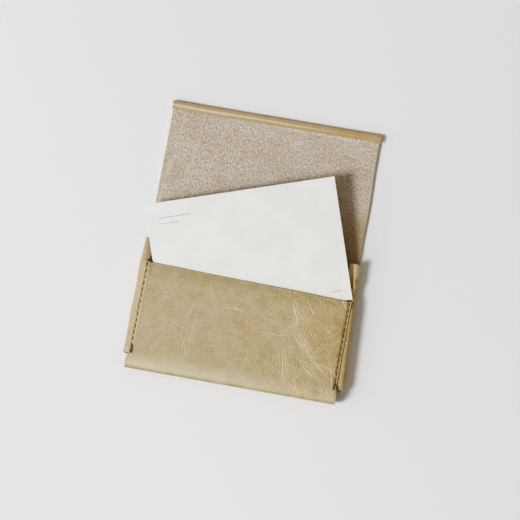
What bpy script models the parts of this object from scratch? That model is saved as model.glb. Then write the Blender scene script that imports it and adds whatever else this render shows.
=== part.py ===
"""A folded leather holder for business cards, lying open with one card half out.

Frame: X across the holder, Y from the bottom fold towards the flap, Z up.
The row's origin is the middle of the back panel's underside, which rests on the table.
Inside the assembly, y = 0 is the outside of the bottom fold.
"""

import math

import bmesh
import bpy
import numpy as np
from mathutils import Matrix, Vector

MM = 0.001

# Leather sheet
LEATHER = 1.2 * MM
GAP = 0.3 * MM
POCKET_HEIGHT = 7.8 * MM  # underside of the back to the top of the front

# Pocket
FOLD_HALF_WIDTH = 47.4 * MM  # half the length of the bottom fold
BACK_HALF_WIDTH = 45.2 * MM
BACK_BOTTOM = POCKET_HEIGHT / 2 + GAP / 2
CREASE_Y = 63.6 * MM  # where the back turns into the flap's spine
FRONT_HALF_WIDTH_BOTTOM = 47.3 * MM
FRONT_LEFT_X = -46.4 * MM
FRONT_RIGHT_X = 47.3 * MM
FRONT_TAPER_Y = 9.5 * MM  # the front's sides draw in up to this height
FRONT_TOP_LEFT_Y = 47.7 * MM
FRONT_TOP_RIGHT_Y = 45.8 * MM

# Gussets: strips folded inwards from the back's sides, under the front's edges
GUSSET_BOTTOM_Y = 6.3 * MM
GUSSET_INNER_X = 42.9 * MM
GUSSET_TOP_Z = POCKET_HEIGHT - LEATHER - GAP
GUSSET_INNER_Z = 5.2 * MM  # its inner edge hangs a little lower
GUSSET_MOUTH_Z = 5.3 * MM  # top of the gusset just above the front's edge, where it falls away
GUSSET_MOUTH_INNER_Z = 4.5 * MM
GUSSET_FLAT_Z = 2 * LEATHER + GAP  # top of the gusset where it lies flat on the back
LEFT_GUSSET_OUTER = (48.7 * MM, 48.9 * MM, 47.6 * MM)  # at the bottom, the front's edge, the top
RIGHT_GUSSET_OUTER = (50.5 * MM, 48.8 * MM, 48.4 * MM)
LEFT_GUSSET_TOP_Y = 58.6 * MM
RIGHT_GUSSET_TOP_Y = 63.0 * MM
ARC_STEPS = 10

# Flap: a spine strip as deep as the closed pocket, the flap and its turned-over hem
SPINE_DEPTH = 8.8 * MM
FLAP_LEFT_X = -47.1 * MM
FLAP_RIGHT_X_BASE = 47.6 * MM
FLAP_RIGHT_X_TIP = 46.7 * MM
TIP_Y = 121.6 * MM
TIP_SKEW = math.radians(0.54)
HEM_WIDTH = 3.75 * MM
HEM_RADIUS = LEATHER + GAP / 2

# Seams: one running thread down each side of the front, as (top, bottom, number of stitches)
THREAD_RADIUS = 0.22 * MM
HOLE_RADIUS = 0.43 * MM
THREAD_CLEARANCE = 0.25 * MM
STITCH_LENGTH = 1.65 * MM
LEFT_SEAM = (Vector((-44.8 * MM, 47.0 * MM)), Vector((-45.35 * MM, 6.9 * MM)), 15)
RIGHT_SEAM = (Vector((45.9 * MM, 45.2 * MM)), Vector((45.75 * MM, 7.4 * MM)), 14)
THREAD_SIDES = 6
HOLE_SIDES = 6

# Card: drawn at home in the pocket, then swung about its axis to where it lies half out
CARD_SIZE = (85.0 * MM, 55.0 * MM, 0.4 * MM)
CARD_HOME = Vector((0.0, 30.5 * MM, 5.1 * MM))
CARD_PIVOT = Vector((-83.9 * MM, 37.85 * MM, 26.55 * MM))
CARD_AXIS = Vector((0.2804, -0.0512, 0.9585)).normalized()
CARD_SWING = math.radians(19.38)

ORIGIN_Y = (BACK_BOTTOM + CREASE_Y - GAP / 2) / 2


def clear_scene():
    for obj in list(bpy.data.objects):
        bpy.data.objects.remove(obj, do_unlink=True)


def linear(value):
    """One 0-255 display channel as a linear colour value."""
    value /= 255
    return value / 12.92 if value <= 0.04045 else ((value + 0.055) / 1.055) ** 2.4


def material(name, colour, roughness, metallic=0.0):
    made = bpy.data.materials.new(name)
    made.use_nodes = True
    shader = made.node_tree.nodes["Principled BSDF"]
    shader.inputs["Base Color"].default_value = (*(linear(c) for c in colour), 1.0)
    shader.inputs["Roughness"].default_value = roughness
    shader.inputs["Metallic"].default_value = metallic
    return made


def add_object(name, mesh_builder, parent, finish, origin=(0.0, 0.0, 0.0)):
    """An object whose mesh is mesh_builder's, with its origin at a point of the assembly frame."""
    mesh_builder.normal_update()
    bmesh.ops.recalc_face_normals(mesh_builder, faces=mesh_builder.faces)
    bmesh.ops.translate(mesh_builder, vec=-Vector(origin), verts=mesh_builder.verts)
    mesh = bpy.data.meshes.new(name)
    mesh_builder.to_mesh(mesh)
    mesh_builder.free()
    mesh.set_sharp_from_angle(angle=math.radians(35))
    obj = bpy.data.objects.new(name, mesh)
    bpy.context.scene.collection.objects.link(obj)
    obj.parent = parent
    obj.location = origin
    if finish is not None:
        mesh.materials.append(finish)
    return obj


def prism(outline, low, high):
    """A flat sheet: the outline (x, y) from height low to height high."""
    bm = bmesh.new()
    base = bm.faces.new([bm.verts.new((x, y, low)) for x, y in outline])
    top = bmesh.ops.extrude_face_region(bm, geom=[base])
    moved = [v for v in top["geom"] if isinstance(v, bmesh.types.BMVert)]
    bmesh.ops.translate(bm, vec=(0, 0, high - low), verts=moved)
    return bm


def loft(sections):
    """A closed solid through equal loops of points, with its first and last loop as ends."""
    bm = bmesh.new()
    rings = [[bm.verts.new(point) for point in section] for section in sections]
    count = len(rings[0])
    for ring, following in zip(rings, rings[1:]):
        for i in range(count):
            j = (i + 1) % count
            bm.faces.new((ring[i], ring[j], following[j], following[i]))
    bm.faces.new(rings[0][::-1])
    bm.faces.new(rings[-1])
    return bm


def thickened(centreline, thickness):
    """The outline of a strip of even thickness round a centreline of (u, z) points."""
    points = [np.array(p) for p in centreline]
    sides = ([], [])
    for i, point in enumerate(points):
        before = points[max(i - 1, 0)]
        after = points[min(i + 1, len(points) - 1)]
        leading = (point - before) if i else (after - point)
        trailing = (after - point) if i < len(points) - 1 else leading
        leading = leading / np.linalg.norm(leading)
        trailing = trailing / np.linalg.norm(trailing)
        along = (leading + trailing) / np.linalg.norm(leading + trailing)
        normal = np.array((-along[1], along[0]))
        reach = thickness / 2 / max(float(along @ leading), 0.5)
        sides[0].append(point + reach * normal)
        sides[1].append(point - reach * normal)
    return sides[0] + sides[1][::-1]


def arc(centre, radius, start, end, steps):
    """Points (u, z) on an arc, angles in degrees."""
    angles = np.radians(np.linspace(start, end, steps + 1))
    return [(centre[0] + radius * math.cos(a), centre[1] + radius * math.sin(a)) for a in angles]


def flap_right_x(y):
    """The flap's right side at y, where it draws in from its base to its tip."""
    share = (y - CREASE_Y) / (TIP_Y - CREASE_Y)
    return FLAP_RIGHT_X_BASE + share * (FLAP_RIGHT_X_TIP - FLAP_RIGHT_X_BASE)


def back_panel(parent, leather):
    top = CREASE_Y - GAP / 2
    outline = [
        (-BACK_HALF_WIDTH, BACK_BOTTOM),
        (BACK_HALF_WIDTH, BACK_BOTTOM),
        (BACK_HALF_WIDTH, top),
        (-BACK_HALF_WIDTH, top),
    ]
    add_object("back_panel", prism(outline, 0.0, LEATHER), parent, leather)


def bottom_fold(parent, leather):
    """The half round that joins the back to the front."""
    radius = POCKET_HEIGHT / 2
    centreline = arc((radius, radius), radius - LEATHER / 2, -90, -270, 2 * ARC_STEPS)
    outline = thickened(centreline, LEATHER)
    sections = [[(x, u, z) for u, z in outline] for x in (-FOLD_HALF_WIDTH, FOLD_HALF_WIDTH)]
    add_object("bottom_fold", loft(sections), parent, leather)


def front_panel(parent, leather):
    outline = [
        (-FRONT_HALF_WIDTH_BOTTOM, BACK_BOTTOM),
        (FRONT_HALF_WIDTH_BOTTOM, BACK_BOTTOM),
        (FRONT_RIGHT_X, FRONT_TAPER_Y),
        (FRONT_RIGHT_X, FRONT_TOP_RIGHT_Y),
        (FRONT_LEFT_X, FRONT_TOP_LEFT_Y),
        (FRONT_LEFT_X, FRONT_TAPER_Y),
    ]
    solid = prism(outline, POCKET_HEIGHT - LEATHER, POCKET_HEIGHT)
    return add_object("front_panel", solid, parent, leather)


def gusset_section(outer, top, inner_top):
    """The C-shaped outline of a gusset: a lip, the outer fold and the flange turned inwards."""
    radius = (top - LEATHER) / 2
    fold_x = outer - LEATHER / 2 - radius
    level = top - LEATHER / 2
    inner_level = inner_top - LEATHER / 2
    lip = [(BACK_HALF_WIDTH + GAP, LEATHER / 2)]
    fold = arc((fold_x, LEATHER / 2 + radius), radius, -90, 90, ARC_STEPS)
    flange = [
        (GUSSET_INNER_X + 1.4 * MM, level),
        (GUSSET_INNER_X + 0.5 * MM, inner_level),
        (GUSSET_INNER_X, inner_level),
    ]
    return thickened(lip + fold + flange, LEATHER)


def gusset(name, side, outer, front_top, top_y, parent, leather):
    """side is -1 for the left gusset and 1 for the right one."""
    stations = [
        (GUSSET_BOTTOM_Y, outer[0], GUSSET_TOP_Z, GUSSET_INNER_Z),
        (front_top - 0.5 * MM, outer[1], GUSSET_TOP_Z, GUSSET_INNER_Z),
        (front_top + 1.6 * MM, outer[1], GUSSET_MOUTH_Z, GUSSET_MOUTH_INNER_Z),
        (top_y, outer[2], GUSSET_FLAT_Z, GUSSET_FLAT_Z),
    ]
    sections = [
        [(side * u, y, z) for u, z in gusset_section(width, top, inner_top)]
        for y, width, top, inner_top in stations
    ]
    return add_object(name, loft(sections), parent, leather)


def stitch_places(seam):
    """The (entry, exit) points of each stitch, from the seam's top down."""
    start, end, count = seam
    along = (end - start).normalized()
    pitch = ((end - start).length - STITCH_LENGTH) / (count - 1)
    entries = [start + along * (i * pitch) for i in range(count)]
    return [(entry, entry + along * STITCH_LENGTH) for entry in entries]


def seam_cutter(name, seam, parent):
    """Needle holes through the front and the flange under it."""
    bm = bmesh.new()
    low, high = GUSSET_TOP_Z - 2 * LEATHER, POCKET_HEIGHT + LEATHER
    for stitch in stitch_places(seam):
        for centre in stitch:
            place = Matrix.Translation((centre.x, centre.y, (low + high) / 2))
            bmesh.ops.create_cone(
                bm,
                cap_ends=True,
                segments=HOLE_SIDES,
                radius1=HOLE_RADIUS,
                radius2=HOLE_RADIUS,
                depth=high - low,
                matrix=place,
            )
    cutter = add_object(name, bm, parent, None)
    cutter.hide_render = True
    cutter.display_type = "WIRE"
    return cutter


def cut(obj, cutter):
    boolean = obj.modifiers.new("needle_holes", "BOOLEAN")
    boolean.operation = "DIFFERENCE"
    boolean.solver = "EXACT"
    boolean.object = cutter


def thread_path(seam):
    """The running stitch's centre: over the front, down a hole, under the flange and up the next."""
    over = POCKET_HEIGHT + THREAD_CLEARANCE + THREAD_RADIUS
    under = GUSSET_TOP_Z - LEATHER - THREAD_CLEARANCE - THREAD_RADIUS
    along = (seam[1] - seam[0]).normalized()
    turn = THREAD_RADIUS + 0.1 * MM
    path = []
    for entry, leave in stitch_places(seam):
        path += [
            (entry - along * turn * 0.5, under - 0.02 * MM),
            (entry, under + turn),
            (entry, over - turn),
            (entry + along * turn, over),
            (leave - along * turn, over),
            (leave, over - turn),
            (leave, under + turn),
            (leave + along * turn * 0.5, under - 0.02 * MM),
        ]
    return [Vector((flat.x, flat.y, z)) for flat, z in path]


def seam_thread(name, seam, parent, finish):
    """A round thread swept along a path that stays in the seam's upright plane."""
    path = thread_path(seam)
    along = (seam[1] - seam[0]).normalized()
    sideways = Vector((along.y, -along.x, 0.0))
    sections = []
    for i, point in enumerate(path):
        before = path[max(i - 1, 0)]
        after = path[min(i + 1, len(path) - 1)]
        upright = (after - before).normalized().cross(sideways)
        sections.append(
            [
                point
                + THREAD_RADIUS * (math.cos(turn) * sideways + math.sin(turn) * upright)
                for turn in (2 * math.pi * k / THREAD_SIDES for k in range(THREAD_SIDES))
            ]
        )
    add_object(name, loft(sections), parent, finish)


def flap_spine(parent, suede):
    low, high = CREASE_Y + GAP / 2, CREASE_Y + SPINE_DEPTH - GAP / 2
    outline = [
        (FLAP_LEFT_X, low),
        (flap_right_x(low), low),
        (flap_right_x(high), high),
        (FLAP_LEFT_X, high),
    ]
    origin = (0.0, CREASE_Y, LEATHER)
    add_object("flap_spine", prism(outline, 0.0, LEATHER), parent, suede, origin)


def flap_panel(parent, suede, origin):
    low = CREASE_Y + SPINE_DEPTH + GAP / 2
    high = TIP_Y - HEM_RADIUS - GAP
    lean = math.tan(TIP_SKEW)
    right = flap_right_x(high)
    outline = [
        (FLAP_LEFT_X, low),
        (flap_right_x(low), low),
        (right, high + right * lean),
        (FLAP_LEFT_X, high + FLAP_LEFT_X * lean),
    ]
    add_object("flap_panel", prism(outline, 0.0, LEATHER), parent, suede, origin)


def flap_hem(parent, leather, origin):
    """The turned-over edge: a fold at the tip and a lip lying on the flap's inner side."""
    radius = HEM_RADIUS - LEATHER / 2
    fold = arc((TIP_Y - HEM_RADIUS, HEM_RADIUS), radius, -90, 90, ARC_STEPS)
    lip = [(TIP_Y - HEM_WIDTH, HEM_RADIUS + radius)]
    outline = thickened(fold + lip, LEATHER)
    lean = math.tan(TIP_SKEW)
    sides = (FLAP_LEFT_X, flap_right_x(TIP_Y))
    sections = [[(x, y + x * lean, z) for y, z in outline] for x in sides]
    add_object("flap_hem", loft(sections), parent, leather, origin)


def business_card(parent, paper):
    width, height, thickness = CARD_SIZE
    outline = [
        (CARD_HOME.x + sx * width / 2, CARD_HOME.y + sy * height / 2)
        for sx, sy in ((-1, -1), (1, -1), (1, 1), (-1, 1))
    ]
    solid = prism(outline, CARD_HOME.z - thickness / 2, CARD_HOME.z + thickness / 2)
    card = add_object("business_card", solid, parent, paper, CARD_PIVOT)
    card.rotation_mode = "QUATERNION"
    card.rotation_quaternion = Matrix.Rotation(CARD_SWING, 3, CARD_AXIS).to_quaternion()


def build():
    clear_scene()
    leather = material("tan_leather", (180, 160, 122), 0.5)
    suede = material("flesh_side", (190, 178, 163), 0.95)
    thread = material("brown_thread", (100, 70, 42), 0.8)
    paper = material("white_card", (228, 228, 226), 0.75)
    assembly = bpy.data.objects.new("card_holder", None)
    bpy.context.scene.collection.objects.link(assembly)
    assembly.location = (0.0, -ORIGIN_Y, 0.0)

    back_panel(assembly, leather)
    bottom_fold(assembly, leather)
    front = front_panel(assembly, leather)
    left = gusset(
        "left_gusset", -1, LEFT_GUSSET_OUTER, FRONT_TOP_LEFT_Y, LEFT_GUSSET_TOP_Y, assembly, leather
    )
    right = gusset(
        "right_gusset", 1, RIGHT_GUSSET_OUTER, FRONT_TOP_RIGHT_Y, RIGHT_GUSSET_TOP_Y, assembly, leather
    )
    for side, seam, flange in (("left", LEFT_SEAM, left), ("right", RIGHT_SEAM, right)):
        cutter = seam_cutter(f"{side}_needle_holes", seam, assembly)
        cut(front, cutter)
        cut(flange, cutter)
        seam_thread(f"{side}_seam_thread", seam, assembly, thread)

    flap_spine(assembly, suede)
    flap_origin = (0.0, CREASE_Y + SPINE_DEPTH, LEATHER)
    flap_panel(assembly, suede, flap_origin)
    flap_hem(assembly, leather, flap_origin)
    business_card(assembly, paper)


build()
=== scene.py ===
"""The look of a folded leather card holder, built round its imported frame.

Work is done in millimetres in the holder's own frame: X across, Y from the bottom fold towards the flap's
tip, Z up. The leather is one cut sheet. It is shown as pieces that meet edge to edge where it bends or is
hidden: the front with the bottom fold, the back with its two wings, the spine, the flap and the hem. Each has
a grain face, a suede face and a rounded cut edge. A pattern coordinate runs unbroken over all of them, so the
grain does too.
"""
import math

import bpy
import numpy as np
from mathutils import Matrix, Vector, noise


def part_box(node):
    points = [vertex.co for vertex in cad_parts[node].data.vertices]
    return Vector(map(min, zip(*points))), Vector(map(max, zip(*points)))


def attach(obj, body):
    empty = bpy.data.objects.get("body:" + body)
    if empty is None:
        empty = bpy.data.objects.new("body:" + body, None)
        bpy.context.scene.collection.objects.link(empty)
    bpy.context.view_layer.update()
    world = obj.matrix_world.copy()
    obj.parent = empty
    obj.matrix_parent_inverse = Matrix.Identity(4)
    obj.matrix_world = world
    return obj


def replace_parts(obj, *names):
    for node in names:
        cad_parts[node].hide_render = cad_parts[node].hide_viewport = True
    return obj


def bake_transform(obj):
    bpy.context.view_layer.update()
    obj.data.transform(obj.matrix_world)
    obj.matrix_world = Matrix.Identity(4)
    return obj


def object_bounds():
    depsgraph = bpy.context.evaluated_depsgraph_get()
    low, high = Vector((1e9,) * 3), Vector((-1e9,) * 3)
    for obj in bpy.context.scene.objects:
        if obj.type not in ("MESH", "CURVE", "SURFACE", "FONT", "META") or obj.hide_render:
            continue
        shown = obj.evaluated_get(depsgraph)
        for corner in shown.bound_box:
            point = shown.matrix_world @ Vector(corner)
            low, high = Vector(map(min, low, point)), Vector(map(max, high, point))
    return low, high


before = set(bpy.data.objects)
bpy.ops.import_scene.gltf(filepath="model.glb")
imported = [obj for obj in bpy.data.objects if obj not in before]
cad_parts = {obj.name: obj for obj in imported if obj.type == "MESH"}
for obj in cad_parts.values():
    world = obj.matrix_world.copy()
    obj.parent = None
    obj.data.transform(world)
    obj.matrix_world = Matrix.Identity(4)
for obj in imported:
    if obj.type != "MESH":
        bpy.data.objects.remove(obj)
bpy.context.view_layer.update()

MM = 0.001
BASE_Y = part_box("bottom_fold")[0][1] / MM


def holder_box(node):
    """A CAD node's lowest and highest corners, in mm in the holder's frame."""
    return [np.array(c) / MM - (0.0, BASE_Y, 0.0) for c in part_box(node)]


def holder_points(node):
    """A CAD node's vertices, in mm in the holder's frame."""
    return np.array([v.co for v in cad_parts[node].data.vertices]) / MM - (0.0, BASE_Y, 0.0)


def holder_corner(node, x_sign, y_sign):
    """The point of a CAD node furthest towards a corner, seen from above."""
    points = holder_points(node)
    return points[np.argmax(x_sign * points[:, 0] + y_sign * points[:, 1])]


# Sizes read from the frame
LEATHER = holder_box("back_panel")[1][2]
TOP = holder_box("front_panel")[1][2]
FOLD_RADIUS = TOP / 2
FOLD_HALF = holder_box("bottom_fold")[1][0]
BACK_HALF = holder_box("back_panel")[1][0]
FRONT_TOP_LEFT = holder_corner("front_panel", -1, 1)
FRONT_TOP_RIGHT = holder_corner("front_panel", 1, 1)
SPINE_LOW, SPINE_HIGH = holder_box("flap_spine")
HEM_LEFT = holder_corner("flap_hem", -1, 1)
HEM_RIGHT = holder_corner("flap_hem", 1, 1)
CREASE_Y = SPINE_LOW[1] - 0.15
FLAP_CREASE_Y = holder_box("flap_panel")[0][1] - 0.15

# Bends and rims
BEND_REACH = 1.0
CASE_END_Y = CREASE_Y - BEND_REACH
SPINE_END_Y = (CREASE_Y + FLAP_CREASE_Y) / 2
HEM_START = (HEM_LEFT[1] + HEM_RIGHT[1]) / 2 - 1.35
EDGE_ROUND = 0.26

# Pattern coordinate along the sheet: the front's is its height above the fold
FOLD_ARC = math.pi * (FOLD_RADIUS - LEATHER / 2)
BACK_PATTERN = FOLD_RADIUS - FOLD_ARC


def smooth(low, high, value):
    share = np.clip((value - low) / (high - low), 0.0, 1.0)
    return share * share * (3.0 - 2.0 * share)


def hump(offset, width):
    """1 where the offset is 0, falling away on both sides over the width."""
    return np.exp(-((offset / width) ** 2))


def ripple(x, y, size, seed, octaves=2):
    """Smooth noise of about -1 to 1 over arrays of places, with features of that size in mm."""
    flat = np.stack((np.ravel(x) / size, np.ravel(y) / size), 1)
    values = [
        noise.fractal(Vector((a, b, seed)), 0.9, 2.1, octaves, noise_basis="PERLIN_ORIGINAL")
        for a, b in flat
    ]
    return np.array(values).reshape(np.shape(x))


def nap(pattern):
    """The suede face's fine relief."""
    return 0.03 * ripple(pattern[..., 0], pattern[..., 1], 1.3, 6.6)


def spaced(start, end, step):
    return np.linspace(start, end, max(2, int(round(abs(end - start) / step)) + 1))


def softened_line(line, passes=1):
    """A line of points with its inner points drawn towards their neighbours."""
    for _ in range(passes):
        line[1:-1] = (line[:-2] + 2 * line[1:-1] + line[2:]) / 4
    return line


def unit(vectors):
    length = np.linalg.norm(vectors, axis=-1, keepdims=True)
    return vectors / np.maximum(length, 1e-9)


# ---------------------------------------------------------------- sheets

RIM_ANGLES = (50.0, 0.0, -50.0)


def sheet(name, mid, normal, pattern, looks, thickness=LEATHER, keep=None, edge=EDGE_ROUND, outer=0.0,
          inner=0.0, fields=None):
    """A closed sheet over a grid of mid-surface points: outer face, inner face and a rounded rim.

    keep says which cells exist, edge how far the rim rounds at each point (0 where it meets another piece),
    outer and inner are the relief of the two faces, and fields are numbers for the materials. Sizes in mm.
    """
    rows, cols = mid.shape[:2]
    if keep is None:
        keep = np.ones((rows - 1, cols - 1), bool)
    index = np.arange(rows * cols).reshape(rows, cols)
    corners = [index[:-1, :-1], index[:-1, 1:], index[1:, 1:], index[1:, :-1]]
    if np.cross(mid[0, 1] - mid[0, 0], mid[1, 0] - mid[0, 0]) @ normal[0, 0] < 0:
        corners = corners[::-1]
    quads = np.stack([c[keep] for c in corners], 1)
    starts, ends = quads.ravel(), np.roll(quads, -1, 1).ravel()
    open_edge = ~np.isin(starts * rows * cols + ends, ends * rows * cols + starts)
    rim, rim_to = starts[open_edge], ends[open_edge]

    def spread(value):
        return np.broadcast_to(value, (rows, cols)).ravel().astype(float)

    points, normals = mid.reshape(-1, 3), unit(normal).reshape(-1, 3)
    half, rounding, out, inn = spread(thickness) / 2, spread(edge), spread(outer), spread(inner)
    after = dict(zip(rim, rim_to))
    before = dict(zip(rim_to, rim))
    along = points[[after[v] for v in rim]] - points[[before[v] for v in rim]]
    outward = unit(np.cross(along, normals[rim]))
    pulled = np.zeros_like(points)
    pulled[rim] = outward * rounding[rim, None]

    used = np.unique(quads)
    count = len(used)
    place = np.full(rows * cols, -1)
    place[used] = np.arange(count)
    rim_place = np.full(rows * cols, -1)
    rim_place[rim] = np.arange(len(rim))
    top = points + normals * (half + out)[:, None] - pulled
    bottom = points - normals * (half + inn)[:, None] - pulled
    rings = []
    for angle in RIM_ANGLES:
        rise, reach = math.sin(math.radians(angle)), math.cos(math.radians(angle))
        level = np.where(rise >= 0, half + out, half + inn)[rim] * rise
        draw = outward * (rounding[rim] * (reach - 1.0))[:, None]
        rings.append(points[rim] + normals[rim] * level[:, None] + draw)
    verts = np.concatenate([top[used], bottom[used]] + rings)

    def levels(ends_of):
        """The rim's vertices from the outer face down to the inner face."""
        middle = [2 * count + k * len(rim) + rim_place[ends_of] for k in range(len(rings))]
        return [place[ends_of], *middle, place[ends_of] + count]

    near, far = levels(rim), levels(rim_to)
    faces = [place[quads], (place[quads] + count)[:, ::-1]]
    for k in range(len(rings) + 1):
        faces.append(np.stack((far[k], near[k], near[k + 1], far[k + 1]), 1))
    material_of = np.concatenate([np.full(len(f), min(k, 2)) for k, f in enumerate(faces)])
    source = np.concatenate([used, used] + [rim] * len(rings))
    read = {}
    for key, value in (fields or {}).items():
        read[key] = (value.reshape(-1, 3) if np.ndim(value) == 3 else spread(value))[source]
    pattern = pattern.reshape(-1, pattern.shape[-1])[source]
    return finished_mesh(name, verts, np.concatenate(faces), looks, material_of, pattern, read)


def finished_mesh(name, verts, faces, looks, material_of, pattern, fields, sharp=55):
    """An object from arrays of points in mm, with the attributes its materials read."""
    mesh = bpy.data.meshes.new(name)
    placed = (np.asarray(verts) + (0.0, BASE_Y, 0.0)) * MM
    mesh.from_pydata(placed.tolist(), [], [list(map(int, f)) for f in faces])
    for look in looks:
        mesh.materials.append(look)
    mesh.polygons.foreach_set("material_index", np.asarray(material_of, np.int32))
    mesh.polygons.foreach_set("use_smooth", np.ones(len(mesh.polygons), bool))
    mesh.set_sharp_from_angle(angle=math.radians(sharp))
    full = np.zeros((len(verts), 3))
    full[:, :pattern.shape[1]] = pattern
    for key, value in {"pattern": full, **fields}.items():
        kind, item = ("FLOAT_VECTOR", "vector") if np.ndim(value) == 2 else ("FLOAT", "value")
        data = mesh.attributes.new(key, kind, "POINT").data
        data.foreach_set(item, np.asarray(value, np.float32).ravel())
    mesh.validate()
    mesh.update()
    obj = bpy.data.objects.new(name, mesh)
    bpy.context.scene.collection.objects.link(obj)
    return obj


# ---------------------------------------------------------------- creases in the front's grain

# Bundles of pull-up creases: points of the middle line, strands, spread, width and strength
BUNDLES = (
    (((23.5, 32.0), (28.0, 25.5), (34.0, 18.5), (44.0, 10.5)), 16, 2.1, 0.2, 0.78),
    (((25.0, 29.0), (31.0, 20.0), (37.0, 15.0), (45.0, 9.0)), 10, 1.8, 0.2, 0.7),
    (((20.5, 45.0), (22.5, 39.0), (24.0, 32.5), (23.0, 25.0)), 14, 1.7, 0.2, 0.85),
    (((20.0, 25.0), (21.0, 17.0), (22.5, 10.0), (24.5, 2.0)), 13, 2.0, 0.19, 0.8),
    (((28.5, 39.0), (24.0, 32.5), (19.5, 28.5), (15.0, 27.0)), 9, 1.5, 0.2, 0.75),
    (((24.5, 30.5), (25.0, 27.0), (27.5, 24.0), (31.0, 23.0)), 6, 1.2, 0.2, 0.7),
    (((27.0, 9.5), (28.0, 5.0), (28.5, 1.5)), 3, 0.6, 0.24, 0.8),
    (((33.0, 7.5), (32.0, 4.5), (29.5, 1.5), (27.0, -1.0)), 3, 0.5, 0.26, 0.95),
    (((-12.0, 33.0), (-6.0, 34.3), (-1.0, 33.6), (4.0, 31.6)), 6, 0.9, 0.22, 0.6),
    (((7.0, 24.6), (13.0, 25.6), (19.0, 25.8), (24.0, 27.5)), 3, 0.7, 0.26, 0.6),
    (((-20.5, 31.0), (-20.0, 23.0), (-22.0, 13.0), (-21.0, 3.0)), 14, 2.4, 0.22, 0.55),
    (((-26.0, 24.0), (-23.5, 28.5), (-21.5, 33.0)), 3, 1.2, 0.26, 0.4),
    (((33.5, 33.0), (38.0, 31.5), (43.0, 27.5)), 5, 1.1, 0.24, 0.6),
    (((38.0, 45.0), (38.8, 40.0), (39.3, 35.0)), 4, 0.9, 0.22, 0.6),
    (((28.0, 17.0), (33.0, 12.5), (38.5, 9.0), (43.0, 7.5)), 10, 1.9, 0.19, 0.65),
    (((-16.0, 44.0), (-15.0, 40.0), (-12.5, 33.0)), 4, 1.4, 0.26, 0.35),
    (((4.0, 20.0), (5.5, 15.0), (4.5, 10.0), (6.5, 5.0)), 5, 1.6, 0.24, 0.35),
    (((-38.0, 14.0), (-33.0, 11.5), (-28.0, 11.0)), 3, 1.0, 0.26, 0.22),
    (((40.5, 20.0), (43.0, 14.0), (45.5, 5.0)), 6, 1.2, 0.22, 0.6),
    (((35.0, 6.5), (40.0, 5.2), (46.0, 3.0)), 5, 1.2, 0.22, 0.5),
)
STRAND_LAYERS = 3


def smooth_path(points, step):
    """A Catmull-Rom curve through the points, sampled about every step mm."""
    points = np.array(points, float)
    padded = np.concatenate(([2 * points[0] - points[1]], points, [2 * points[-1] - points[-2]]))
    out = []
    for a, b, c, d in zip(padded, padded[1:], padded[2:], padded[3:]):
        for t in np.linspace(0, 1, max(2, int(np.linalg.norm(c - b) / step) + 1))[:-1]:
            bend = (2 * a - 5 * b + 4 * c - d) * t * t + (3 * b - a - 3 * c + d) * t ** 3
            out.append(0.5 * (2 * b + (c - a) * t + bend))
    out.append(points[-1])
    return np.array(out)


def crease_strokes(rng):
    """The deeper strands of every bundle, for the relief, as (points, width, strength)."""
    strokes = []
    for middle, strands, spread, width, strength in BUNDLES:
        middle = np.array(middle)
        share = np.linspace(0, 1, 14)
        knots = np.linspace(0, 1, len(middle))
        line = softened_line(np.stack([np.interp(share, knots, middle[:, k]) for k in (0, 1)], 1))
        heading = unit(line[-1] - line[0])
        side = np.array((-heading[1], heading[0]))
        for _ in range(strands * 2 // 3):
            begin, end = sorted(rng.uniform(0, 1, 2))
            begin, end = max(0.0, begin - 0.35), min(1.0, end + 0.35)
            offset = rng.normal(0, spread * 0.6) + (share - 0.5) * rng.normal(0, spread * 0.9)
            wave = np.sin(share * rng.uniform(4, 11) + rng.uniform(0, 6))
            offset = offset + wave * rng.uniform(0.1, 0.5)
            part = (share >= begin) & (share <= end)
            if part.sum() >= 3:
                points = (line + offset[:, None] * side)[part]
                stroke_width = 1.5 * width * rng.uniform(0.9, 1.3)
                strokes.append((points, stroke_width, strength * rng.uniform(0.4, 1.0)))
    return strokes


def beside(line, x, y, reach):
    """Which places are near a line of points, and their distance, side and run along it, in points."""
    near = (x > line[:, 0].min() - reach) & (x < line[:, 0].max() + reach)
    near &= (y > line[:, 1].min() - reach) & (y < line[:, 1].max() + reach)
    px, py = x[near], y[near]
    gap, side, run = np.full(px.shape, 1e9), np.zeros_like(px), np.zeros_like(px)
    for i, (a, b) in enumerate(zip(line, line[1:])):
        length = np.linalg.norm(b - a)
        span = (b - a) / length
        share = np.clip((px - a[0]) * span[0] + (py - a[1]) * span[1], 0, length)
        away_x, away_y = px - a[0] - share * span[0], py - a[1] - share * span[1]
        distance = np.hypot(away_x, away_y)
        closer = distance < gap
        gap = np.where(closer, distance, gap)
        side = np.where(closer, np.sign(span[0] * away_y - span[1] * away_x), side)
        run = np.where(closer, i + share / length, run)
    return near, gap, side, run


def crease_field(x, y, strokes):
    """How strongly each place is creased."""
    field = np.zeros_like(x)
    for points, width, strength in strokes:
        near, gap, _, run = beside(points, x, y, 2.5 * width)
        inside = np.clip(run / (len(points) - 1), 0.04, 0.96)
        fade = np.clip(np.sin(math.pi * inside) * 1.6, 0, 1)
        field[near] = np.maximum(field[near], strength * fade * hump(gap, width))
    return field


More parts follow.
